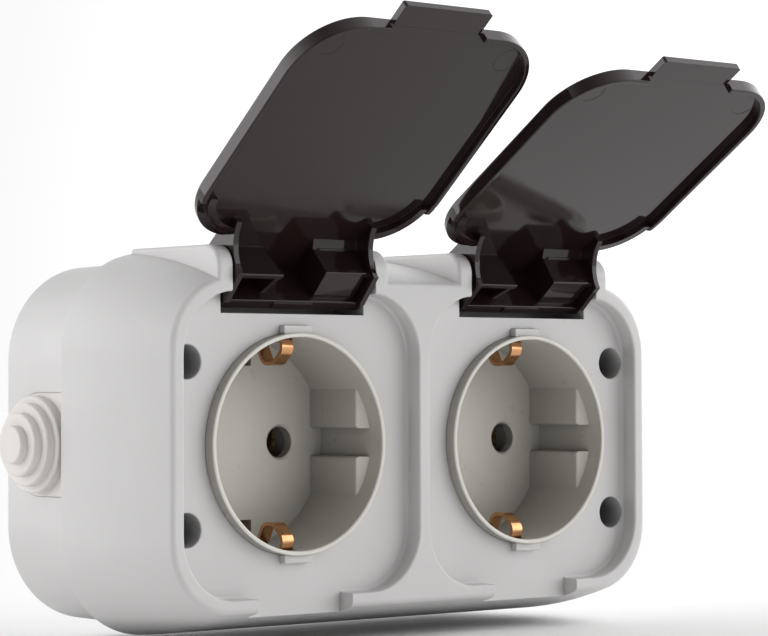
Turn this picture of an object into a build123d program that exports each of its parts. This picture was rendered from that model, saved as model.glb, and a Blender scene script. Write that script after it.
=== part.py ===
from build123d import *
from math import sin, cos, tan, radians
import os

# Two-gang outdoor socket outlet, made to be screwed to a wall.
# Frame: X to the right, Z up, the wall is the plane Y = 0 and the front faces -Y.
# The origin is the middle of the back face. "h" below is the height above the wall (h = -Y).

# ---------------------------------------------------------------- driving dimensions, mm
GANG = 29.0            # socket centres stand at X = -GANG and +GANG

# rear box
BASE_HX = 62.6         # half width at the wall
BASE_HZ = 33.3         # half height at the wall
BASE_R = 18.0          # corner radius
BASE_DRAFT = 1.0       # degrees, opening towards the front
BASE_RIM = 22.4        # height of its front rim
BASE_WALL = 2.2
BASE_FLOOR = 2.5
WALL_HOLE_X = 46.0     # wall screw holes
WALL_HOLE_Z = 26.0
WALL_HOLE_R = 2.25

# front cover
SEAM_H = 20.4          # rear edge of the cover, which laps over the box
COVER_HX = 64.5        # half width at that edge
COVER_HZ = 35.25
COVER_R = 18.3
FRONT_H = 47.3         # front of the two frames
LEAN_MID = 1.62        # the cover's sides lean in along an arc: by this much half way up
LEAN_FRONT = 5.3       # and by this much at the front
INSIDE_TAPER = 9.0     # degrees, slope of the inside of those walls
FIELD_H = 43.7         # floor of the two recesses
FIELD_T = 2.0
LEDGE_H = 23.4         # gasket seat inside the cover
RECESS = 55.3          # recess width and height
RECESS_R = 11.6
THUMB_HX = 11.0        # half width of the finger notch below each lid
HOOD_HX = 20.0         # half width of a hinge hood
HOOD_TOP = 36.0
HOOD_REAR_H = 21.0
HOOD_EDGE = 0.7
HOOD_NOSE_R = 4.0      # rounding of its front top corner
NOTCH_HX = 16.87       # half width of the hinge pocket
NOTCH_Z = 23.77        # its lower edge
POCKET_H = 35.3        # back of the hinge pocket
HOOD_LIP_H = 36.9      # front edge of the hood's top wall
SCREW_X = 53.35        # cover screws
SCREW_Z = 14.98
SCREW_WELL_R = 3.1
SCREW_SEAT_H = 25.0

# socket wells
RING_H = 46.0
WELL_R = 19.5
RING_OUT_R = 20.35
CUP_OUT_R = 21.2
SHOULDER_H = 41.4
WELL_FLOOR_H = 28.05
WELL_FLOOR_T = 2.5
PIN_X = 9.5
PIN_HOLE_R = 2.98
GUIDE_X = 16.75
GUIDE_Z0 = 2.65
GUIDE_Z1 = 11.0
LUG_X = 16.5
LUG_Z = 18.5

# lids
AXIS_H = 42.78         # hinge axis, parallel to X
AXIS_Z = 31.23
LID_OUT = 5.6          # axis to the lid's outer plane
LID_T = 1.4
LID_HX = 27.2
LID_V0 = 5.0           # axis to the hinge-side edge of the lid
LID_V1 = 57.75         # axis to its far edge
LID_R = 12.2
LID_PLAY = 0.15        # each lid sits this far outwards in its hinge's side play
TAB_HX = 10.1
TAB_V = 62.2
RIM_T = 1.1
RIM_H = 1.45
RIM_V0 = 13.9          # hinge-side end of the rim
CORNER_RIM_V1 = 15.2   # far end of the set-in rim round the hinge-side corners
PIVOT_R = 1.5
PIVOT_HOLE_R = 1.55
TONGUE_HX = 16.45
TONGUE_V = -4.75       # outside and inside of the tongue's end wall
TONGUE_IN_V = -2.4
TONGUE_W = 4.7         # free edge of that wall
CHEEK_T = 1.15
LEAN_LEFT = 48.8       # degrees from upright, lid as it stands open
LEAN_RIGHT = 56.0

# contacts
STRIP = 0.7
CLIP_W = 2.6          # width of an earth clip's strip
JAW_GAP = 4.7
JAW_Z = 4.0
BUS_Z0 = 8.0
BUS_Z1 = 12.5
BUS_H = 19.5
BUS_T = 0.8
CARRIER_HX = 19.0
CARRIER_HZ = 14.2
CARRIER_H0 = 7.0
EARTH_H = 24.6         # rear face of the earth bracket's cross bar
TERM_X = 4.2

os.makedirs("parts", exist_ok=True)


def front(h):
    """Plane h above the wall: local x is X, local y is Z, its normal points out of the wall."""
    return Plane(origin=(0, -h, 0), x_dir=(1, 0, 0), z_dir=(0, -1, 0))


def left_side(x):
    """Plane across X: local x is the height above the wall, local y is Z, its normal is -X."""
    return Plane(origin=(x, 0, 0), x_dir=(0, -1, 0), z_dir=(-1, 0, 0))


def lid_plane(cx, lean, w):
    """Plane of an open lid: local x is X, local y runs from the axis along the lid, w is towards its inside."""
    s, c = sin(radians(lean)), cos(radians(lean))
    return Plane(
        origin=(cx, -AXIS_H, AXIS_Z), x_dir=(1, 0, 0), z_dir=(0, -c, -s)
    ).offset(w)


def lid_side(x, lean):
    """Plane across the hinge axis: local x runs along the lid, local y towards its inside, its normal is +X."""
    s, c = sin(radians(lean)), cos(radians(lean))
    return Plane(origin=(x, -AXIS_H, AXIS_Z), x_dir=(0, -s, c), z_dir=(1, 0, 0))


GANGS = (("left", -GANG, -1), ("right", GANG, 1))
COVER_SCREWS = [(sx * SCREW_X, sz * SCREW_Z) for sx in (-1, 1) for sz in (-1, 1)]
INSERT_SCREWS = [
    (sx * (GANG + LUG_X), -LUG_Z) for sx in (-1, 1)
] + [(sx * (GANG - LUG_X), LUG_Z) for sx in (-1, 1)]
TERMINALS = [
    (-TERM_X, (BUS_Z0 + BUS_Z1) / 2, BUS_H),
    (TERM_X, -(BUS_Z0 + BUS_Z1) / 2, BUS_H),
    (-TERM_X, -17.0, EARTH_H - STRIP),
]

# ---------------------------------------------------------------- rear box
with BuildPart() as rear_base:
    with BuildSketch(front(0)):
        RectangleRounded(2 * BASE_HX, 2 * BASE_HZ, BASE_R)
    extrude(amount=BASE_RIM, taper=-BASE_DRAFT)
    fillet(rear_base.faces().sort_by(Axis.Y)[-1].edges(), 1.0)
    with BuildSketch(front(BASE_FLOOR)):
        RectangleRounded(
            2 * (BASE_HX - BASE_WALL), 2 * (BASE_HZ - BASE_WALL), BASE_R - BASE_WALL
        )
    extrude(amount=BASE_RIM - BASE_FLOOR, taper=-BASE_DRAFT, mode=Mode.SUBTRACT)
    # bosses for the cover screws
    with BuildSketch(front(BASE_FLOOR - 0.1)):
        with Locations(*COVER_SCREWS):
            Circle(4.0)
    extrude(amount=22.6 - BASE_FLOOR + 0.1)
    # posts for the socket inserts
    with BuildSketch(front(BASE_FLOOR - 0.1)):
        with Locations(*INSERT_SCREWS):
            Circle(3.4)
    extrude(amount=25.4 - BASE_FLOOR + 0.1)
    # pads under the contact carriers
    with BuildSketch(front(BASE_FLOOR - 0.1)):
        with Locations(*[(sx * GANG + dx, 0) for sx in (-1, 1) for dx in (-9.5, 9.5)]):
            Circle(3.0)
    extrude(amount=CARRIER_H0 - BASE_FLOOR + 0.1)
    # screw holes in bosses and posts
    with BuildSketch(front(5.0)):
        with Locations(*COVER_SCREWS):
            Circle(1.8)
    extrude(amount=30, mode=Mode.SUBTRACT)
    with BuildSketch(front(6.0)):
        with Locations(*INSERT_SCREWS):
            Circle(1.55)
    extrude(amount=30, mode=Mode.SUBTRACT)
    # wall screw holes
    with BuildSketch(front(-1)):
        with GridLocations(2 * WALL_HOLE_X, 2 * WALL_HOLE_Z, 2, 2):
            Circle(WALL_HOLE_R)
    extrude(amount=BASE_FLOOR + 2, mode=Mode.SUBTRACT)
    # slot for the cable grommet in the left wall, open at the rim
    with BuildSketch(left_side(-59.6)):
        with Locations((11.0, 0)):
            Circle(9.53)
        with Locations((19.0, 0)):
            Rectangle(16.0, 19.06)
    extrude(amount=12, mode=Mode.SUBTRACT)
rear_base.part.label = "rear_base"
export_step(rear_base.part, "parts/rear_base.step")

# ---------------------------------------------------------------- front cover
# outer form: a rounded box whose four sides lean in along an arc towards the front
with BuildPart() as cover_form:
    flat_x, flat_z = COVER_HX - COVER_R, COVER_HZ - COVER_R
    mid_h = (SEAM_H + FRONT_H) / 2
    with BuildSketch(left_side(flat_x)):
        with BuildLine():
            ThreePointArc((SEAM_H, COVER_HZ), (mid_h, COVER_HZ - LEAN_MID), (FRONT_H, COVER_HZ - LEAN_FRONT))
            Line((FRONT_H, COVER_HZ - LEAN_FRONT), (FRONT_H, -COVER_HZ + LEAN_FRONT))
            ThreePointArc((FRONT_H, -COVER_HZ + LEAN_FRONT), (mid_h, -COVER_HZ + LEAN_MID), (SEAM_H, -COVER_HZ))
            Line((SEAM_H, -COVER_HZ), (SEAM_H, COVER_HZ))
        make_face()
    extrude(amount=2 * flat_x)
    with BuildSketch(Plane(origin=(0, 0, -flat_z), x_dir=(1, 0, 0), z_dir=(0, 0, 1))):
        with BuildLine():
            ThreePointArc((COVER_HX, -SEAM_H), (COVER_HX - LEAN_MID, -mid_h), (COVER_HX - LEAN_FRONT, -FRONT_H))
            Line((COVER_HX - LEAN_FRONT, -FRONT_H), (-COVER_HX + LEAN_FRONT, -FRONT_H))
            ThreePointArc((-COVER_HX + LEAN_FRONT, -FRONT_H), (-COVER_HX + LEAN_MID, -mid_h), (-COVER_HX, -SEAM_H))
            Line((-COVER_HX, -SEAM_H), (COVER_HX, -SEAM_H))
        make_face()
    extrude(amount=2 * flat_z)
    for qx in (-1, 1):
        for qz in (-1, 1):
            with BuildSketch(Plane(origin=(qx * flat_x, 0, qz * flat_z), x_dir=(qx, 0, 0), z_dir=(0, 0, qx))):
                with BuildLine():
                    ThreePointArc((COVER_R, -SEAM_H), (COVER_R - LEAN_MID, -mid_h), (COVER_R - LEAN_FRONT, -FRONT_H))
                    Polyline((COVER_R - LEAN_FRONT, -FRONT_H), (0, -FRONT_H), (0, -SEAM_H), (COVER_R, -SEAM_H))
                make_face()
            revolve(axis=Axis((qx * flat_x, 0, qz * flat_z), (0, -qx * qz, 0)), revolution_arc=90)

# hinge hoods: flat top, rounded towards the front
with BuildPart() as hoods:
    for _, cx, _ in GANGS:
        with BuildSketch(left_side(cx + HOOD_HX)) as hood_side:
            with BuildLine():
                Polyline(
                    (HOOD_REAR_H, 24), (HOOD_REAR_H, HOOD_TOP), (FRONT_H, HOOD_TOP),
                    (FRONT_H, 24), (HOOD_REAR_H, 24),
                )
            make_face()
            fillet(hood_side.vertices().sort_by(Axis.Y)[-2:].sort_by(Axis.X)[-1], HOOD_NOSE_R)
        extrude(amount=2 * HOOD_HX)
    fillet(
        [e for e in hoods.edges()
         if abs(e.tangent_at(0.5).X) < 0.5 and e.center().Z > 25 and e.center().Y > -FRONT_H - 0.1
         and not (abs(e.center().Y + HOOD_REAR_H) < 0.01)],
        HOOD_EDGE,
    )

with BuildPart() as front_cover:
    add(cover_form.part)
    fillet(front_cover.faces().sort_by(Axis.Y)[0].edges(), 1.1)
    fillet(front_cover.faces().sort_by(Axis.Y)[-1].edges(), 0.35)
    add(hoods.part)
    # inside of the shell
    with BuildSketch(front(SEAM_H - 1)):
        RectangleRounded(2 * 63.25, 2 * 34.0, 18.6)
    extrude(amount=LEDGE_H - SEAM_H + 1, mode=Mode.SUBTRACT)
    with BuildSketch(front(LEDGE_H - 0.1)):
        RectangleRounded(2 * 61.2, 2 * 31.95, 15.4)
    extrude(amount=FIELD_H - FIELD_T - LEDGE_H + 0.1, taper=INSIDE_TAPER, mode=Mode.SUBTRACT)
    for _, cx, _ in GANGS:
        # hollow of the hood behind the hinge pocket
        with BuildSketch(front(LEDGE_H)):
            with Locations((cx, 29.1)):
                Rectangle(2 * HOOD_HX - 4, 10.2)
        extrude(amount=POCKET_H - 1.8 - LEDGE_H, mode=Mode.SUBTRACT)
        # walls of the hinge pocket
        with BuildSketch(front(POCKET_H - 1.8)):
            with Locations((cx, (NOTCH_Z - 1.5 + 33) / 2)):
                Rectangle(2 * NOTCH_HX + 3.6, 33 - NOTCH_Z + 1.5)
        extrude(amount=FIELD_H - 0.5 - POCKET_H + 1.8)
    # screw wells
    with BuildSketch(front(SCREW_SEAT_H - 2.0)):
        with Locations(*COVER_SCREWS):
            Circle(4.7)
    extrude(amount=FIELD_H - 1 - SCREW_SEAT_H + 2.0)
    # the two recesses, and the finger notch below each
    with BuildSketch(front(FIELD_H)):
        with Locations((-GANG, 0), (GANG, 0)):
            RectangleRounded(RECESS, RECESS, RECESS_R)
    extrude(amount=10, mode=Mode.SUBTRACT)
    fillet(
        [e for e in front_cover.edges()
         if abs(e.center().Y + FRONT_H) < 0.01
         and abs(abs(e.center().X) - GANG) < RECESS / 2 + 0.1 and abs(e.center().Z) < RECESS / 2 + 0.1
         and max(abs(abs(e.center().X) - GANG), abs(e.center().Z)) > 20],
        0.4,
    )
    fillet(
        [e for e in front_cover.edges()
         if abs(e.center().Y + FIELD_H) < 0.01
         and max(abs(abs(e.center().X) - GANG), abs(e.center().Z)) > 20],
        0.6,
    )
    with BuildSketch(front(FIELD_H)):
        with Locations((-GANG, -32), (GANG, -32)):
            Rectangle(2 * THUMB_HX, 20)
    extrude(amount=10, mode=Mode.SUBTRACT)
    # hinge pockets, open to the front and, ahead of the hood's top wall, upwards
    for _, cx, _ in GANGS:
        with BuildSketch(front(POCKET_H)):
            with Locations((cx, (NOTCH_Z + 34.8) / 2)):
                Rectangle(2 * NOTCH_HX, 34.8 - NOTCH_Z)
        extrude(amount=20, mode=Mode.SUBTRACT)
        with BuildSketch(front(HOOD_LIP_H)):
            with Locations((cx, (NOTCH_Z + 40) / 2)):
                Rectangle(2 * NOTCH_HX, 40 - NOTCH_Z)
        extrude(amount=20, mode=Mode.SUBTRACT)
        # pivot holes in the two bosses
        with BuildSketch(left_side(cx + NOTCH_HX + 2.1)):
            with Locations((AXIS_H, AXIS_Z)):
                Circle(PIVOT_HOLE_R)
        extrude(amount=2 * (NOTCH_HX + 2.1), mode=Mode.SUBTRACT)
        # opening for the socket well, with clearance for the two clip blocks on its rim
        with BuildSketch(front(FIELD_H - 4)):
            with Locations((cx, 0)):
                Circle(RING_OUT_R + 0.05)
                Rectangle(6.58, 43.38)
        extrude(amount=10, mode=Mode.SUBTRACT)
    # bores of the screw wells
    with BuildSketch(front(SCREW_SEAT_H)):
        with Locations(*COVER_SCREWS):
            Circle(SCREW_WELL_R)
    extrude(amount=30, mode=Mode.SUBTRACT)
    with BuildSketch(front(15)):
        with Locations(*COVER_SCREWS):
            Circle(2.0)
    extrude(amount=30, mode=Mode.SUBTRACT)
    fillet(
        [e for e in front_cover.edges().filter_by(GeomType.CIRCLE)
         if abs(e.radius - SCREW_WELL_R) < 0.01 and abs(e.center().Y + FIELD_H) < 0.01],
        0.25,
    )
front_cover.part.label = "front_cover"
export_step(front_cover.part, "parts/front_cover.step")

# ---------------------------------------------------------------- gasket between box and cover
with BuildPart() as cover_gasket:
    with BuildSketch(front(BASE_RIM)):
        RectangleRounded(2 * 62.8, 2 * 33.5, BASE_R)
        RectangleRounded(2 * 61.4, 2 * 32.1, BASE_R - 1.4, mode=Mode.SUBTRACT)
    extrude(amount=LEDGE_H - BASE_RIM)
cover_gasket.part.label = "cover_gasket"
export_step(cover_gasket.part, "parts/cover_gasket.step")

# ---------------------------------------------------------------- cable grommet, uncut
with BuildPart() as cable_grommet:
    with BuildSketch(left_side(-58.9)):
        with Locations(((2.7 + 22.3) / 2, 0)):
            RectangleRounded(22.3 - 2.7, 22.0, 3.0)
    extrude(amount=1.4)
    with BuildSketch(left_side(-60.0)):
        with Locations((11.0, 0)):
            Circle(9.5)
        with Locations((16.65, 0)):
            Rectangle(11.3, 19.0)
    extrude(amount=2.75)
    for r, x in ((8.95, 64.6), (7.65, 66.15), (5.85, 67.65), (3.55, 69.1)):
        with BuildSketch(left_side(-62.0)):
            with Locations((11.0, 0)):
                Circle(r)
        extrude(amount=x - 62.0)
    steps = cable_grommet.edges().filter_by(GeomType.CIRCLE).filter_by(
        lambda e: e.center().X < -64.0
    )
    fillet(
        [e for r, x in ((8.95, 64.6), (7.65, 66.15), (5.85, 67.65), (3.55, 69.1))
         for e in steps if abs(e.radius - r) < 0.01 and abs(e.center().X + x) < 0.01],
        0.45,
    )
cable_grommet.part.label = "cable_grommet"
export_step(cable_grommet.part, "parts/cable_grommet.step")

# ---------------------------------------------------------------- socket inserts
for side, cx, sx in GANGS:
    # guide blocks, two on each side with a groove between, sloped at the front
    with BuildPart() as guides:
        for gx in (-1, 1):
            for gz in (-1, 1):
                with BuildSketch(Plane(origin=(cx, 0, gz * GUIDE_Z0), x_dir=(1, 0, 0), z_dir=(0, 0, 1))):
                    with BuildLine():
                        Polyline(
                            (gx * GUIDE_X, -WELL_FLOOR_H + 0.2), (gx * GUIDE_X, -41.7),
                            (gx * 20.5, -42.9), (gx * 20.5, -WELL_FLOOR_H + 0.2),
                            (gx * GUIDE_X, -WELL_FLOOR_H + 0.2),
                        )
                    make_face()
                extrude(amount=gz * (GUIDE_Z1 - GUIDE_Z0))
        # softened edges round the face of each block
        fillet(
            [e for e in guides.edges()
             if abs(abs(e.center().X - cx) - GUIDE_X) < 0.01 and e.center().Y < -WELL_FLOOR_H - 1],
            0.6,
        )
        with BuildSketch(front(WELL_FLOOR_H - 1)):
            with Locations((cx, 0)):
                Circle(WELL_R + 0.4)
        extrude(amount=20, mode=Mode.INTERSECT)
    with BuildPart() as socket_insert:
        back = WELL_FLOOR_H - WELL_FLOOR_T
        with BuildSketch(front(back)):
            with Locations((cx, 0)):
                Circle(CUP_OUT_R)
        extrude(amount=SHOULDER_H - back)
        # lugs for the two screws
        with BuildSketch(front(back)):
            with Locations((cx + sx * LUG_X, -LUG_Z), (cx - sx * LUG_X, LUG_Z)):
                Circle(3.4)
            with BuildLine():
                Polyline(
                    (cx + sx * (LUG_X + 3.2), -LUG_Z + 1.1), (cx + sx * 17, -10), (cx + sx * 6, -18),
                    (cx + sx * (LUG_X - 1.1), -LUG_Z - 3.2), (cx + sx * (LUG_X + 3.2), -LUG_Z + 1.1),
                )
            make_face()
            with BuildLine():
                Polyline(
                    (cx - sx * (LUG_X + 3.2), LUG_Z - 1.1), (cx - sx * 17, 10), (cx - sx * 6, 18),
                    (cx - sx * (LUG_X - 1.1), LUG_Z + 3.2), (cx - sx * (LUG_X + 3.2), LUG_Z - 1.1),
                )
            make_face()
        extrude(amount=WELL_FLOOR_T)
        # ring, with a small block above and below for the ends of the earth strips
        with BuildSketch(front(SHOULDER_H - 0.1)):
            with Locations((cx, 0)):
                Circle(RING_OUT_R)
        extrude(amount=RING_H - SHOULDER_H + 0.1)
        with BuildSketch(front(SHOULDER_H - 0.1)):
            with Locations((cx, 0)):
                Rectangle(6.5, 43.3)
                Circle(RING_OUT_R - 0.2, mode=Mode.SUBTRACT)
        extrude(amount=45.1 - SHOULDER_H + 0.1)
        # well
        with BuildSketch(front(WELL_FLOOR_H)):
            with Locations((cx, 0)):
                Circle(WELL_R)
        extrude(amount=30, mode=Mode.SUBTRACT)
        # guide blocks
        add(guides.part)
        # pin holes with a softened mouth
        with BuildSketch(front(back - 1)):
            with Locations((cx - PIN_X, 0), (cx + PIN_X, 0)):
                Circle(PIN_HOLE_R)
        extrude(amount=WELL_FLOOR_T + 2, mode=Mode.SUBTRACT)
        chamfer(
            [e for e in socket_insert.edges().filter_by(GeomType.CIRCLE)
             if abs(e.radius - PIN_HOLE_R) < 0.01 and abs(e.center().Y + WELL_FLOOR_H) < 0.01],
            0.45,
        )
        # openings above and below: two slots in the floor, and a window in the wall for each clip
        with BuildSketch(front(back - 1)):
            with Locations((cx, 16.7), (cx, -16.7)):
                Rectangle(4.8, 4.5)
        extrude(amount=WELL_FLOOR_T + 2, mode=Mode.SUBTRACT)
        with BuildSketch(front(31.4)):
            with Locations((cx, 0)):
                Rectangle(3.8, 46.0)
        extrude(amount=SHOULDER_H - 0.3 - 31.4, mode=Mode.SUBTRACT)
        with BuildSketch(front(40.0)):
            with Locations((cx, 0)):
                Rectangle(3.8, 42.1)
        extrude(amount=42.4 - 40.0, mode=Mode.SUBTRACT)
        # screw holes in the lugs
        with BuildSketch(front(back - 1)):
            with Locations((cx + sx * LUG_X, -LUG_Z), (cx - sx * LUG_X, LUG_Z)):
                Circle(1.8)
        extrude(amount=WELL_FLOOR_T + 2, mode=Mode.SUBTRACT)
        # softened front edge of the ring
        fillet(
            [e for e in socket_insert.edges().filter_by(GeomType.CIRCLE)
             if abs(e.center().Y + RING_H) < 0.01],
            0.3,
        )
    socket_insert.part.label = f"socket_insert_{side}"
    export_step(socket_insert.part, f"parts/socket_insert_{side}.step")

# ---------------------------------------------------------------- earth brackets with two side clips
for side, cx, sx in GANGS:
    with BuildPart() as earth_clip:
        # profile of one arm in (Y, Z): up outside the well, in through its window, over the arch
        # and out again into the rim block
        for s in (-1, 1):
            with BuildSketch(Plane(origin=(cx - CLIP_W / 2, 0, 0), x_dir=(0, 1, 0), z_dir=(1, 0, 0))):
                with BuildLine() as arm:
                    FilletPolyline(
                        (-EARTH_H - STRIP / 2, 0), (-EARTH_H - STRIP / 2, s * 21.65), (-32.6, s * 21.65),
                        (-36.3, s * 14.75), (-39.2, s * 14.75), (-41.9, s * 17.3), (-40.9, s * 20.7),
                        radius=(0.9, 1.6, 2.0, 2.0, 1.7),
                    )
                    offset(amount=STRIP / 2, side=Side.BOTH)
                make_face()
            extrude(amount=CLIP_W)
        # wide cross bar behind the well
        with BuildSketch(front(EARTH_H)):
            with Locations((cx, 0)):
                Rectangle(5.0, 41.0)
        extrude(amount=STRIP)
        with BuildSketch(front(EARTH_H - 1)):
            with Locations((cx, -17.0)):
                Circle(1.1)
        extrude(amount=3, mode=Mode.SUBTRACT)
    earth_clip.part.label = f"earth_clip_{side}"
    export_step(earth_clip.part, f"parts/earth_clip_{side}.step")

# ---------------------------------------------------------------- earth link and its rivets
with BuildPart() as earth_link:
    with BuildSketch(front(EARTH_H - STRIP)):
        with Locations((0, -17.0)):
            Rectangle(2 * GANG + 6, 4.2)
        with Locations((-GANG, -17.0), (GANG, -17.0)):
            Circle(1.1, mode=Mode.SUBTRACT)
        with Locations((-TERM_X, -17.0)):
            Circle(1.9, mode=Mode.SUBTRACT)
    extrude(amount=STRIP)
earth_link.part.label = "earth_link"
export_step(earth_link.part, "parts/earth_link.step")

with BuildPart() as earth_rivets:
    with BuildSketch(front(EARTH_H - STRIP - 0.6)):
        with Locations((-GANG, -17.0), (GANG, -17.0)):
            Circle(1.8)
    extrude(amount=0.6)
    with BuildSketch(front(EARTH_H - STRIP - 0.3)):
        with Locations((-GANG, -17.0), (GANG, -17.0)):
            Circle(1.05)
    extrude(amount=2 * STRIP + 0.6)
    with BuildSketch(front(EARTH_H + STRIP)):
        with Locations((-GANG, -17.0), (GANG, -17.0)):
            Circle(1.8)
    extrude(amount=0.6)
earth_rivets.part.label = "earth_rivets"
export_step(earth_rivets.part, "parts/earth_rivets.step")

# ---------------------------------------------------------------- contact carriers
for side, cx, sx in GANGS:
    with BuildPart() as contact_carrier:
        top = WELL_FLOOR_H - WELL_FLOOR_T - 0.1
        with BuildSketch(front(CARRIER_H0)):
            with Locations((cx, 0)):
                RectangleRounded(2 * CARRIER_HX, 2 * CARRIER_HZ, 1.5)
        extrude(amount=top - CARRIER_H0)
        # chambers of the two pin jaws
        with BuildSketch(front(CARRIER_H0 + 1.6)):
            with Locations((cx - PIN_X, 0), (cx + PIN_X, 0)):
                Rectangle(8.4, 11.4)
        extrude(amount=30, mode=Mode.SUBTRACT)
        # trenches of the busbars, and the ways from them to the jaws
        with BuildSketch(front(BUS_H - 0.1)):
            for z in (-1, 1):
                with Locations((cx, z * (BUS_Z0 + BUS_Z1) / 2)):
                    Rectangle(60, BUS_Z1 - BUS_Z0 + 0.4)
            with Locations((cx - PIN_X, 5.0), (cx + PIN_X, -5.0)):
                Rectangle(6.6, 8.0)
        extrude(amount=30, mode=Mode.SUBTRACT)
        # groove of the earth cross bar
        with BuildSketch(front(EARTH_H - 0.1)):
            with Locations((cx, 0)):
                Rectangle(5.6, 60)
        extrude(amount=30, mode=Mode.SUBTRACT)
    contact_carrier.part.label = f"contact_carrier_{side}"
    export_step(contact_carrier.part, f"parts/contact_carrier_{side}.step")

# ---------------------------------------------------------------- busbars with pin jaws
for name, jaws, s, tx in (
    ("line_busbar", (-GANG - PIN_X, GANG - PIN_X), 1, -TERM_X),
    ("neutral_busbar", (-GANG + PIN_X, GANG + PIN_X), -1, TERM_X),
):
    with BuildPart() as busbar:
        with BuildSketch(front(BUS_H)):
            with Locations(((jaws[0] + jaws[1]) / 2, s * (BUS_Z0 + BUS_Z1) / 2)):
                Rectangle(jaws[1] - jaws[0] + 6.0, BUS_Z1 - BUS_Z0)
            for jx in jaws:
                with Locations((jx, s * (JAW_Z + BUS_Z0 + 1) / 2)):
                    Rectangle(6.0, BUS_Z0 + 1 - JAW_Z)
            with Locations((tx, s * (BUS_Z0 + BUS_Z1) / 2)):
                Circle(1.9, mode=Mode.SUBTRACT)
        extrude(amount=BUS_T)
        # each jaw: two leaves and the web between them
        for jx in jaws:
            with BuildSketch(front(10.0)):
                with Locations((jx, s * STRIP / 2)):
                    Rectangle(JAW_GAP + 2 * STRIP, 2 * JAW_Z + STRIP)
                with Locations((jx, -s * 2.0)):
                    Rectangle(JAW_GAP, 2 * JAW_Z + 4.0, mode=Mode.SUBTRACT)
            extrude(amount=12.5)
    busbar.part.label = name
    export_step(busbar.part, f"parts/{name}.step")

with BuildPart() as jaw_springs:
    for jx, s in (
        (-GANG - PIN_X, 1), (GANG - PIN_X, 1), (-GANG + PIN_X, -1), (GANG + PIN_X, -1),
    ):
        top = JAW_Z + STRIP + 0.02
        with BuildSketch(front(12.0)):
            with Locations((jx, s * (top + 0.4 - 3.5) / 2)):
                Rectangle(JAW_GAP + 2 * STRIP + 0.84, top + 0.4 + 3.5)
            with Locations((jx, s * (top - 8) / 2)):
                Rectangle(JAW_GAP + 2 * STRIP + 0.04, top + 8, mode=Mode.SUBTRACT)
        extrude(amount=4.5)
jaw_springs.part.label = "jaw_springs"
export_step(jaw_springs.part, "parts/jaw_springs.step")

# ---------------------------------------------------------------- terminals: clamp, screw and nut on each strip
with BuildPart() as terminal_clamps:
    for tx, tz, th in TERMINALS:
        t = BUS_T if th == BUS_H else STRIP
        with BuildSketch(front(th + t)):
            with Locations((tx, tz)):
                Rectangle(6.4, 6.0)
                Circle(1.9, mode=Mode.SUBTRACT)
        extrude(amount=1.0)
terminal_clamps.part.label = "terminal_clamps"
export_step(terminal_clamps.part, "parts/terminal_clamps.step")

with BuildPart() as terminal_nuts:
    for tx, tz, th in TERMINALS:
        with BuildSketch(front(th - 2.6)):
            with Locations((tx, tz)):
                Rectangle(6.0, 6.0)
                Circle(1.85, mode=Mode.SUBTRACT)
        extrude(amount=2.6)
terminal_nuts.part.label = "terminal_nuts"
export_step(terminal_nuts.part, "parts/terminal_nuts.step")

with BuildPart() as terminal_screws:
    for tx, tz, th in TERMINALS:
        t = BUS_T if th == BUS_H else STRIP
        with BuildSketch(front(th - 4.5)):
            with Locations((tx, tz)):
                Circle(1.75)
        extrude(amount=4.5 + t + 1.2)
        with BuildSketch(front(th + t + 1.0)):
            with Locations((tx, tz)):
                Circle(2.9)
        extrude(amount=2.0)
        with BuildSketch(front(th + t + 2.0)):
            with Locations((tx, tz)):
                Rectangle(8, 0.9)
        extrude(amount=3, mode=Mode.SUBTRACT)
terminal_screws.part.label = "terminal_screws"
export_step(terminal_screws.part, "parts/terminal_screws.step")

# ---------------------------------------------------------------- screws of the cover and of the inserts
with BuildPart() as cover_screws:
    with BuildSketch(front(8.0)):
        with Locations(*COVER_SCREWS):
            Circle(1.75)
    extrude(amount=SCREW_SEAT_H + 0.2 - 8.0)
    with BuildSketch(front(SCREW_SEAT_H)):
        with Locations(*COVER_SCREWS):
            Circle(2.9)
    extrude(amount=2.4)
    fillet(cover_screws.edges().filter_by(GeomType.CIRCLE).group_by(Axis.Y)[0], 0.7)
    with BuildSketch(front(SCREW_SEAT_H + 1.2)):
        with Locations(*COVER_SCREWS):
            Rectangle(3.6, 0.8)
            Rectangle(0.8, 3.6)
    extrude(amount=3, mode=Mode.SUBTRACT)
cover_screws.part.label = "cover_screws"
export_step(cover_screws.part, "parts/cover_screws.step")

with BuildPart() as insert_screws:
    with BuildSketch(front(12.0)):
        with Locations(*INSERT_SCREWS):
            Circle(1.5)
    extrude(amount=WELL_FLOOR_H + 0.2 - 12.0)
    with BuildSketch(front(WELL_FLOOR_H)):
        with Locations(*INSERT_SCREWS):
            Circle(2.7)
    extrude(amount=2.0)
    fillet(insert_screws.edges().filter_by(GeomType.CIRCLE).group_by(Axis.Y)[0], 0.6)
    with BuildSketch(front(WELL_FLOOR_H + 1.0)):
        with Locations(*INSERT_SCREWS):
            Rectangle(3.2, 0.8)
            Rectangle(0.8, 3.2)
    extrude(amount=3, mode=Mode.SUBTRACT)
insert_screws.part.label = "insert_screws"
export_step(insert_screws.part, "parts/insert_screws.step")

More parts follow.
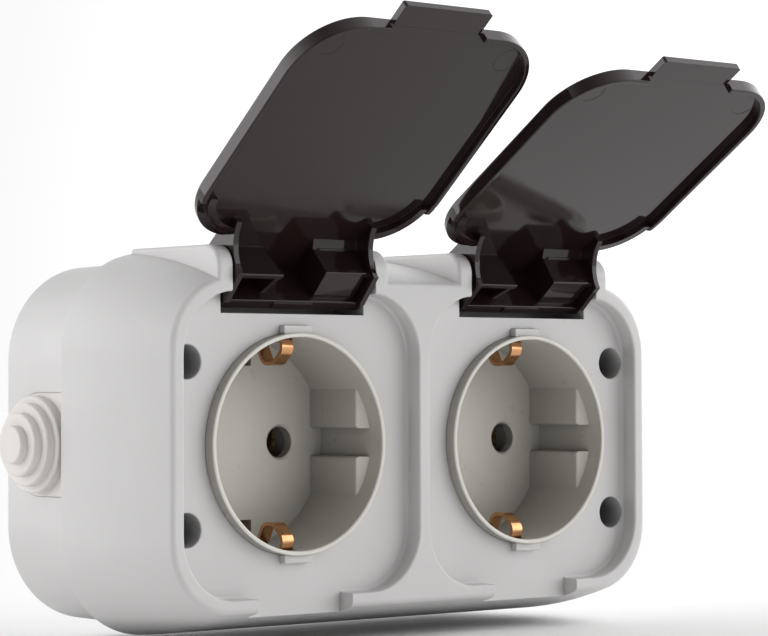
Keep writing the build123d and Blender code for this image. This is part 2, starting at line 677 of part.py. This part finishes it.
# ---------------------------------------------------------------- lids
for side, cx, lean in (("left", -GANG - LID_PLAY, LEAN_LEFT), ("right", GANG + LID_PLAY, LEAN_RIGHT)):
    inner = -LID_OUT + LID_T
    rim_top = inner + RIM_H
    mid_v = (LID_V0 + LID_V1) / 2
    span_v = LID_V1 - LID_V0
    side_plane = lid_plane(cx, lean, 0)
    with BuildPart() as lid:
        # plate with its finger tab
        with BuildSketch(lid_plane(cx, lean, -LID_OUT)):
            with Locations((0, mid_v)):
                RectangleRounded(2 * LID_HX, span_v, LID_R)
            with Locations((0, TAB_V - 3.5)):
                RectangleRounded(2 * TAB_HX, 7.0, 0.5)
        extrude(amount=LID_T)
        # skin of the hinge tongue: front wall, rounded corner, end wall
        with BuildSketch(lid_side(cx - TONGUE_HX, lean)) as skin:
            with BuildLine():
                Polyline(
                    (7.0, -LID_OUT), (TONGUE_V, -LID_OUT), (TONGUE_V, TONGUE_W), (TONGUE_IN_V, TONGUE_W),
                    (TONGUE_IN_V, inner), (7.0, inner), (7.0, -LID_OUT),
                )
            make_face()
            corners = skin.vertices().sort_by(Axis.X)[:2].sort_by(Axis.Y)
            fillet(corners[0], 4.4)
        extrude(amount=2 * TONGUE_HX)
        # softened outer edge of the plate
        fillet(
            [e for e in lid.edges()
             if abs(side_plane.to_local_coords(e.center()).Z + LID_OUT) < 0.01
             and side_plane.to_local_coords(e.center()).Y > 4.8],
            0.45,
        )
        # small step where the finger tab begins
        with BuildSketch(lid_plane(cx, lean, inner - 0.1)):
            with Locations((0, (LID_V1 - 0.3 + TAB_V) / 2)):
                RectangleRounded(2 * TAB_HX, TAB_V - LID_V1 + 0.3, 0.5)
        extrude(amount=0.25)
        # set-in rim round the two hinge-side corners
        with BuildSketch(lid_plane(cx, lean, inner - 0.1)):
            with Locations((0, mid_v)):
                RectangleRounded(2 * (LID_HX - 1.55), span_v - 3.1, LID_R - 1.55)
                RectangleRounded(2 * (LID_HX - 3.15), span_v - 6.3, LID_R - 3.15, mode=Mode.SUBTRACT)
            with Locations((0, CORNER_RIM_V1 + 30)):
                Rectangle(80, 60, mode=Mode.SUBTRACT)
            with Locations((0, LID_V0)):
                Rectangle(2 * (TONGUE_HX - 0.3), 14, mode=Mode.SUBTRACT)
        extrude(amount=RIM_H + 0.05)
        # rim along the sides and the far edge, open at the tab
        with BuildSketch(lid_plane(cx, lean, inner - 0.1)):
            with Locations((0, mid_v)):
                RectangleRounded(2 * LID_HX, span_v, LID_R)
                RectangleRounded(2 * (LID_HX - RIM_T), span_v - 2 * RIM_T, LID_R - RIM_T, mode=Mode.SUBTRACT)
            with Locations((0, LID_V0)):
                Rectangle(80, 2 * (RIM_V0 - LID_V0), mode=Mode.SUBTRACT)
            with Locations((0, LID_V1)):
                Rectangle(2 * (TAB_HX + 0.8), 8, mode=Mode.SUBTRACT)
        extrude(amount=RIM_H + 0.1)
        fillet(
            [e for e in lid.edges() if abs(side_plane.to_local_coords(e.center()).Z - rim_top) < 0.01],
            0.25,
        )
        # end cheeks of the tongue, hollowed towards the plate
        for x0 in (-TONGUE_HX, TONGUE_HX - CHEEK_T):
            with BuildSketch(lid_side(cx + x0, lean)):
                with BuildLine():
                    ThreePointArc((9.8, rim_top - 0.1), (5.6, 0.3), (4.1, 4.4))
                    Polyline(
                        (4.1, 4.4), (TONGUE_IN_V, 5.4), (-3.4, TONGUE_W - 0.1), (-3.6, inner - 0.2),
                        (9.8, inner - 0.2), (9.8, rim_top - 0.1),
                    )
                make_face()
            extrude(amount=CHEEK_T)
        # left box, open below: its web and the wall that looks towards the plate
        with BuildSketch(lid_side(cx - 6.8, lean)):
            with BuildLine():
                Polyline(
                    (2.4, inner), (3.7, 4.1), (TONGUE_IN_V, 2.6), (-3.6, 2.6), (-3.6, inner - 0.2),
                    (2.4, inner - 0.2), (2.4, inner),
                )
            make_face()
        extrude(amount=1.1)
        with BuildSketch(lid_side(cx - TONGUE_HX, lean)):
            with BuildLine():
                Polyline(
                    (2.4, inner), (3.7, 4.1), (2.7, 4.1), (1.3, inner), (1.3, inner - 0.2),
                    (2.4, inner - 0.2), (2.4, inner),
                )
            make_face()
        extrude(amount=TONGUE_HX - 5.7)
        # right box, closed below: web, wall towards the plate and the closing face
        for x0, x1 in ((4.9, 6.0), (13.4, 14.5)):
            with BuildSketch(lid_side(cx + x0, lean)):
                with BuildLine():
                    Polyline(
                        (5.0, inner), (3.6, -2.95), (3.6, 3.0), (TONGUE_IN_V, 3.65), (-3.6, 3.65), (-3.6, inner - 0.2),
                        (5.0, inner - 0.2), (5.0, inner),
                    )
                make_face()
            extrude(amount=x1 - x0)
        with BuildSketch(lid_side(cx + 4.9, lean)):
            with BuildLine():
                Polyline(
                    (5.0, inner), (3.6, -2.95), (3.6, 3.0), (2.6, 3.0 + 0.65 / (3.6 - TONGUE_IN_V)), (2.6, inner - 0.2),
                    (5.0, inner - 0.2), (5.0, inner),
                )
            make_face()
        extrude(amount=TONGUE_HX - 4.9)
        with BuildSketch(lid_side(cx + 4.9, lean)):
            with BuildLine():
                Polyline(
                    (3.6, 3.0), (TONGUE_IN_V, 3.65), (-3.0, 3.65), (-3.0, 2.5), (3.2, 1.9), (3.6, 3.0),
                )
            make_face()
        extrude(amount=9.6)
        # fine bead across that wall
        with BuildSketch(lid_side(cx + 6.2, lean)):
            with Locations((3.7, -2.9)):
                Circle(0.22)
        extrude(amount=6.4)
        # softened ridges and free edge, which catch the light
        for v, w, r in ((3.7, 4.1, 0.25), (3.6, 3.0, 0.25), (TONGUE_IN_V, TONGUE_W, 0.2), (TONGUE_V, TONGUE_W, 0.5)):
            fillet(
                [e for e in lid.edges().filter_by(Axis.X)
                 if abs(side_plane.to_local_coords(e.center()).Y - v) < 0.01
                 and abs(side_plane.to_local_coords(e.center()).Z - w) < 0.01],
                r,
            )
        # shallow pad in the middle of that edge
        with BuildSketch(lid_side(cx - 4.6, lean)):
            with BuildLine():
                Polyline(
                    (-4.05, TONGUE_W - 0.2), (-4.05, TONGUE_W + 0.25), (-2.7, TONGUE_W + 0.25),
                    (-2.7, TONGUE_W - 0.2), (-4.05, TONGUE_W - 0.2),
                )
            make_face()
        extrude(amount=9.2)
        # pivots on the cheeks
        with BuildSketch(lid_side(cx - TONGUE_HX - 2.0, lean)):
            Circle(PIVOT_R)
        extrude(amount=2.4)
        with BuildSketch(lid_side(cx + TONGUE_HX - 0.4, lean)):
            Circle(PIVOT_R)
        extrude(amount=2.4)
        # faint marks left by the mould's ejector pins in the far corners
        with BuildSketch(lid_plane(cx, lean, inner - 0.05)):
            with Locations((20.4, 52.0), (-20.4, 52.0)):
                Circle(2.5)
        extrude(amount=0.3, mode=Mode.SUBTRACT)
    lid.part.label = f"lid_{side}"
    export_step(lid.part, f"parts/lid_{side}.step")
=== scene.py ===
import math

import bpy
from mathutils import Matrix, Vector


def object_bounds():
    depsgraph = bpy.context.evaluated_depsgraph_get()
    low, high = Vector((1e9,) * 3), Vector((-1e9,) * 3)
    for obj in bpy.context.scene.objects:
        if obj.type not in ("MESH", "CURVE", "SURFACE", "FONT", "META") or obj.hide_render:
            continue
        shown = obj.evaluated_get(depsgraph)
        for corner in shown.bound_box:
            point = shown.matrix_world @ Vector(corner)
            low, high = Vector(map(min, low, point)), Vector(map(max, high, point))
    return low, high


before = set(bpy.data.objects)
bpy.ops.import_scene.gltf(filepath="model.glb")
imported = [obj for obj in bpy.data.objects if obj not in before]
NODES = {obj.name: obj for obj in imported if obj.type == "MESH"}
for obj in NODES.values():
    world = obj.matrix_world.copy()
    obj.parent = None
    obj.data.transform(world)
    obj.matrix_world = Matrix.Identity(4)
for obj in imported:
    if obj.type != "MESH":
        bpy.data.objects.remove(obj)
cad_lo, cad_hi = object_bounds()
scene = bpy.context.scene
FLOOR_Z = cad_lo.z - 0.0018


# ------------------------------------------------------------------ material helpers
def material(name):
    m = bpy.data.materials.new(name)
    m.use_nodes = True
    nt = m.node_tree
    nt.nodes.clear()
    out = nt.nodes.new("ShaderNodeOutputMaterial")
    bsdf = nt.nodes.new("ShaderNodeBsdfPrincipled")
    nt.links.new(bsdf.outputs["BSDF"], out.inputs["Surface"])
    coord = nt.nodes.new("ShaderNodeTexCoord")
    return m, nt, bsdf, coord.outputs["Object"]


def noise(nt, at, scale, detail=3.0, rough=0.5, stretch=None):
    if stretch is not None:
        mp = nt.nodes.new("ShaderNodeMapping")
        mp.inputs["Scale"].default_value = stretch
        nt.links.new(at, mp.inputs["Vector"])
        at = mp.outputs["Vector"]
    n = nt.nodes.new("ShaderNodeTexNoise")
    n.inputs["Scale"].default_value = scale
    n.inputs["Detail"].default_value = detail
    n.inputs["Roughness"].default_value = rough
    nt.links.new(at, n.inputs["Vector"])
    return n.outputs["Fac"]


def ramp(nt, fac, stops):
    r = nt.nodes.new("ShaderNodeValToRGB")
    el = r.color_ramp.elements
    while len(el) < len(stops):
        el.new(0.5)
    for e, (p, c) in zip(el, stops):
        e.position = p
        e.color = (*c, 1.0)
    nt.links.new(fac, r.inputs["Fac"])
    return r.outputs["Color"]


def span(nt, fac, lo, hi, a=0.3, b=0.7):
    r = nt.nodes.new("ShaderNodeMapRange")
    r.inputs["From Min"].default_value = a
    r.inputs["From Max"].default_value = b
    r.inputs["To Min"].default_value = lo
    r.inputs["To Max"].default_value = hi
    nt.links.new(fac, r.inputs["Value"])
    return r.outputs["Result"]


def bump(nt, height, distance, strength=1.0, below=None):
    b = nt.nodes.new("ShaderNodeBump")
    b.inputs["Strength"].default_value = strength
    b.inputs["Distance"].default_value = distance
    nt.links.new(height, b.inputs["Height"])
    if below is not None:
        nt.links.new(below, b.inputs["Normal"])
    return b.outputs["Normal"]


def soft_edges(nt, radius):
    """Moulded edges are never quite sharp: the light rolls over them."""
    e = nt.nodes.new("ShaderNodeBevel")
    e.samples = 4
    e.inputs["Radius"].default_value = radius
    return e.outputs["Normal"]


def shade(c, k):
    return tuple(min(1.0, x * k) for x in c)


def paint_shade_in_hollows(nt, colour, reach, a, b, keep):
    """Painted shade: colour darkened where ambient occlusion finds the surface in a hollow; open faces keep their full
    colour.
    """
    ao = nt.nodes.new("ShaderNodeAmbientOcclusion")
    ao.samples = 8
    ao.inputs["Distance"].default_value = reach
    k = nt.nodes.new("ShaderNodeVectorMath")
    k.operation = "SCALE"
    nt.links.new(colour, k.inputs[0])
    nt.links.new(span(nt, ao.outputs["AO"], keep, 1.0, a, b), k.inputs["Scale"])
    return k.outputs["Vector"]


def paint_shade_on_side_faces(nt, colour, keep):
    """Painted shade: colour darkened on faces whose object-space normal has a small Y part, such as the side faces of a
    well.
    """
    parts = nt.nodes.new("ShaderNodeSeparateXYZ")
    nt.links.new(nt.nodes.new("ShaderNodeTexCoord").outputs["Normal"], parts.inputs["Vector"])
    size = nt.nodes.new("ShaderNodeMath")
    size.operation = "ABSOLUTE"
    nt.links.new(parts.outputs["Y"], size.inputs[0])
    k = nt.nodes.new("ShaderNodeVectorMath")
    k.operation = "SCALE"
    nt.links.new(colour, k.inputs[0])
    nt.links.new(span(nt, size.outputs["Value"], keep, 1.0, 0.20, 0.60), k.inputs["Scale"])
    return k.outputs["Vector"]


def outside_ring(nt, at, colour, other, centre_x, radius):
    """Another tone on whatever stands outside a ring round each well's axis."""
    parts = nt.nodes.new("ShaderNodeSeparateXYZ")
    nt.links.new(at, parts.inputs["Vector"])
    side = nt.nodes.new("ShaderNodeMath")
    side.operation = "ABSOLUTE"
    nt.links.new(parts.outputs["X"], side.inputs[0])
    off = nt.nodes.new("ShaderNodeMath")
    off.operation = "SUBTRACT"
    nt.links.new(side.outputs["Value"], off.inputs[0])
    off.inputs[1].default_value = centre_x
    flat = nt.nodes.new("ShaderNodeCombineXYZ")
    nt.links.new(off.outputs["Value"], flat.inputs["X"])
    nt.links.new(parts.outputs["Z"], flat.inputs["Y"])
    away = nt.nodes.new("ShaderNodeVectorMath")
    away.operation = "LENGTH"
    nt.links.new(flat.outputs["Vector"], away.inputs[0])
    mix = nt.nodes.new("ShaderNodeMix")
    mix.data_type = "RGBA"
    nt.links.new(span(nt, away.outputs["Value"], 0.0, 1.0, radius, radius + 0.00005), mix.inputs[0])
    nt.links.new(colour, mix.inputs[6])
    mix.inputs[7].default_value = (*other, 1.0)
    return mix.outputs[2]


def plastic(name, colour, rough, grain=0.000006, tone=0.025, mottle=70.0, hollow_shade=None, side_face_shade=None, outside=None):
    """Moulded plastic: faint cloudiness, a satin that varies, and a fine eroded grain."""
    m, nt, b, at = material(name)
    cloud = noise(nt, at, mottle, 4.0, 0.55)
    tint = ramp(nt, cloud, [(0.30, shade(colour, 1 - tone)), (0.70, shade(colour, 1 + tone))])
    # painted shade: colour darkened where the surface lies in a hollow
    if hollow_shade is not None:
        tint = paint_shade_in_hollows(nt, tint, *hollow_shade)
    # painted shade: colour darkened on faces turned away from the front
    if side_face_shade is not None:
        tint = paint_shade_on_side_faces(nt, tint, side_face_shade)
    if outside is not None:
        tint = outside_ring(nt, at, tint, *outside)
    nt.links.new(tint, b.inputs["Base Color"])
    patch = noise(nt, at, 260.0, 3.0, 0.6)
    nt.links.new(span(nt, patch, rough - 0.05, rough + 0.05), b.inputs["Roughness"])
    wave = bump(nt, noise(nt, at, 45.0, 2.0, 0.4), 0.00004, 0.5, soft_edges(nt, 0.00025))
    nt.links.new(bump(nt, noise(nt, at, 3800.0, 2.0, 0.6), grain, 1.0, wave), b.inputs["Normal"])
    b.inputs["IOR"].default_value = 1.5
    return m


# ------------------------------------------------------------------ materials
HOUSING = (0.640, 0.630, 0.628)
INSERT = (0.740, 0.715, 0.655)

# housing and insert: colour darkened in hollows such as screw wells and well interiors, a painted shade
housing = plastic("housing_plastic", HOUSING, 0.42, tone=0.012, hollow_shade=(0.008, 0.0, 0.6, 0.15))
# insert: also darker on the side faces of its wells, a painted shade
insert = plastic("insert_plastic", INSERT, 0.32, grain=0.000004, tone=0.012, hollow_shade=(0.030, 0.30, 0.62, 0.62), side_face_shade=0.74,
                 outside=(HOUSING, 0.029, 0.0205))
carrier = plastic("carrier_plastic", (0.50, 0.49, 0.47), 0.45)
grommet = plastic("grommet_rubber", (0.755, 0.722, 0.700), 0.55, grain=0.000008)


def lid_material():
    """Smoked glossy plastic, nearly black, with the slight unevenness of a moulded sheet."""
    m, nt, b, at = material("smoked_plastic")
    cloud = noise(nt, at, 38.0, 3.0, 0.5)
    nt.links.new(
        ramp(nt, cloud, [(0.30, (0.0135, 0.0066, 0.0070)), (0.70, (0.0175, 0.0086, 0.0090))]),
        b.inputs["Base Color"],
    )
    smear = noise(nt, at, 120.0, 4.0, 0.6)
    nt.links.new(span(nt, smear, 0.05, 0.10), b.inputs["Roughness"])
    wave = bump(nt, noise(nt, at, 22.0, 1.5, 0.4), 0.00010, 0.35, soft_edges(nt, 0.00018))
    nt.links.new(bump(nt, noise(nt, at, 900.0, 2.0, 0.5), 0.000003, 0.5, wave), b.inputs["Normal"])
    b.inputs["IOR"].default_value = 1.45
    return m


smoked = lid_material()


def metal(name, colour, rough, stretch, scale=900.0, tone=0.10):
    """Drawn or rolled metal strip with fine streaks along its length and slight tarnish."""
    m, nt, b, at = material(name)
    b.inputs["Metallic"].default_value = 1.0
    tarnish = noise(nt, at, 420.0, 4.0, 0.6)
    nt.links.new(
        ramp(nt, tarnish, [(0.28, shade(colour, 1 - tone)), (0.72, shade(colour, 1 + tone))]),
        b.inputs["Base Color"],
    )
    streak = noise(nt, at, scale, 3.0, 0.6, stretch)
    nt.links.new(span(nt, streak, rough - 0.06, rough + 0.08), b.inputs["Roughness"])
    nt.links.new(bump(nt, streak, 0.000008, 0.6), b.inputs["Normal"])
    return m


copper = metal("copper_strip", (0.70, 0.37, 0.18), 0.20, (6.0, 1.0, 1.0))
brass = metal("brass_strip", (0.78, 0.60, 0.30), 0.28, (1.0, 4.0, 4.0))
steel = metal("zinc_plated_steel", (0.60, 0.60, 0.59), 0.30, (4.0, 1.0, 4.0))


def rubber_black():
    m, nt, b, at = material("gasket_rubber")
    nt.links.new(
        ramp(nt, noise(nt, at, 300.0), [(0.3, (0.018, 0.018, 0.018)), (0.7, (0.030, 0.030, 0.029))]),
        b.inputs["Base Color"],
    )
    nt.links.new(span(nt, noise(nt, at, 700.0), 0.6, 0.8), b.inputs["Roughness"])
    nt.links.new(bump(nt, noise(nt, at, 2500.0), 0.00001, 0.8), b.inputs["Normal"])
    return m


gasket = rubber_black()

WEAR = {
    "rear_base": housing, "front_cover": housing, "cover_gasket": gasket, "cable_grommet": grommet,
    "socket_insert_left": insert, "socket_insert_right": insert,
    "earth_clip_left": copper, "earth_clip_right": copper, "earth_link": copper, "earth_rivets": copper,
    "contact_carrier_left": carrier, "contact_carrier_right": carrier,
    "line_busbar": brass, "neutral_busbar": brass, "terminal_nuts": brass,
    "jaw_springs": steel, "terminal_clamps": steel, "terminal_screws": steel,
    "cover_screws": steel, "insert_screws": steel,
    "lid_left": smoked, "lid_right": smoked,
}
for name, obj in NODES.items():
    obj.data.materials.clear()
    obj.data.materials.append(WEAR[name])

# ------------------------------------------------------------------ floor
bpy.ops.mesh.primitive_plane_add(size=8.0, location=(0, 0, FLOOR_Z))
floor = bpy.context.object
floor.name = "studio_floor"
fm, fnt, fb, fat = material("floor_paint")
fnt.links.new(
    ramp(fnt, noise(fnt, fat, 3.0), [(0.3, (0.97, 0.97, 0.97)), (0.7, (0.985, 0.985, 0.985))]), fb.inputs["Base Color"]
)
fb.inputs["Roughness"].default_value = 0.7
floor.data.materials.append(fm)

# ------------------------------------------------------------------ light
# A white studio: broad soft panels all round, strongest behind on the left and on the right, none in front on the left.
world = bpy.data.worlds.new("studio")
scene.world = world
world.use_nodes = True
wt = world.node_tree
wbg = wt.nodes["Background"]
wbg.inputs["Color"].default_value = (1.0, 1.0, 1.0, 1.0)
sky = wt.nodes.new("ShaderNodeTexCoord").outputs["Generated"]


def maths(op, a, b):
    n = wt.nodes.new("ShaderNodeMath")
    n.operation = op
    for socket, x in zip(n.inputs, (a, b)):
        if isinstance(x, (int, float)):
            socket.default_value = x
        else:
            wt.links.new(x, socket)
    return n.outputs["Value"]


def panel(toward, strength, width=3.0):
    """A soft panel far away in one direction; width is the power of its falloff."""
    d = wt.nodes.new("ShaderNodeVectorMath")
    d.operation = "DOT_PRODUCT"
    wt.links.new(sky, d.inputs[0])
    d.inputs[1].default_value = Vector(toward).normalized()
    return maths("MULTIPLY", maths("POWER", maths("MAXIMUM", d.outputs["Value"], 0.0), width), strength)


total = None
for toward, strength in (
    ((-1, 1, 0), 3.10),
    ((1, 0, 0), 2.12),
    ((1, -1, 0), 1.22),
    ((1, 1, 0), 0.62),
    ((0.5, -0.5, 0.7071), 0.89),
    ((-0.5, 0.5, 0.7071), 0.20),
    ((0, 0, 1), 0.22),
):
    total = panel(toward, strength) if total is None else maths("ADD", total, panel(toward, strength))
wt.links.new(total, wbg.inputs["Strength"])

# ------------------------------------------------------------------ camera
YAW, PITCH, ROLL = (math.radians(a) for a in (40.983, 1.311, -0.159))
fwd = Vector((math.sin(YAW) * math.cos(PITCH), math.cos(YAW) * math.cos(PITCH), math.sin(PITCH)))
right = Vector((math.cos(YAW), -math.sin(YAW), 0.0))
up = right.cross(fwd)
r2 = math.cos(ROLL) * right + math.sin(ROLL) * up
u2 = -math.sin(ROLL) * right + math.cos(ROLL) * up
cam_data = bpy.data.cameras.new("camera")
cam_data.sensor_fit = "HORIZONTAL"
cam_data.sensor_width = 36.0
cam_data.lens = 135.51
cam_data.clip_start, cam_data.clip_end = 0.01, 50.0
cam = bpy.data.objects.new("camera", cam_data)
scene.collection.objects.link(cam)
cam.matrix_world = Matrix.Translation((-0.3635, -0.4540, 0.0109)) @ Matrix(
    ((r2.x, u2.x, -fwd.x), (r2.y, u2.y, -fwd.y), (r2.z, u2.z, -fwd.z))
).to_4x4()
scene.camera = cam
scene.view_settings.view_transform = "Standard"
